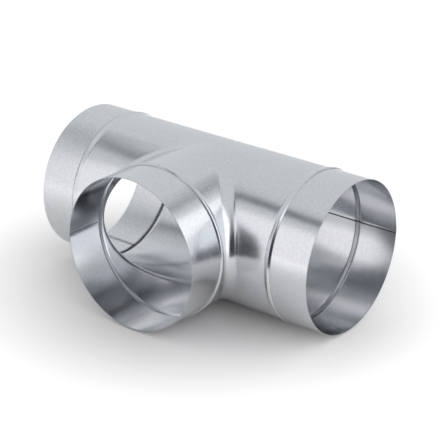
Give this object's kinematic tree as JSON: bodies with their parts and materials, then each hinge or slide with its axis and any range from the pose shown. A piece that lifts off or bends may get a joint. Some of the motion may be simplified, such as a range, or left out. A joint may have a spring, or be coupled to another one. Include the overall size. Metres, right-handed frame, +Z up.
{
  "type": "duct tee",
  "caption": "Equal round duct tee in thin galvanised sheet: a straight run with a side branch pressed out of it, every end a plain spigot behind a rolled bead that stops the duct slid over it.",
  "frame": {"origin": "where the axis of the run and the axis of the branch cross, half way along the run", "axes": "+X along the run towards its right mouth, -Y out of the branch's mouth, +Z up"},
  "size_m": [0.32, 0.2039, 0.1528],
  "materials": {
    "galvanised_body": "satin",
    "galvanised_spigots": "satin"
  },
  "bodies": {
    "root": {"tee_body": "galvanised_body", "right_spigot": "galvanised_spigots", "left_spigot": "galvanised_spigots", "branch_spigot": "galvanised_spigots"}
  },
  "joints": []
}
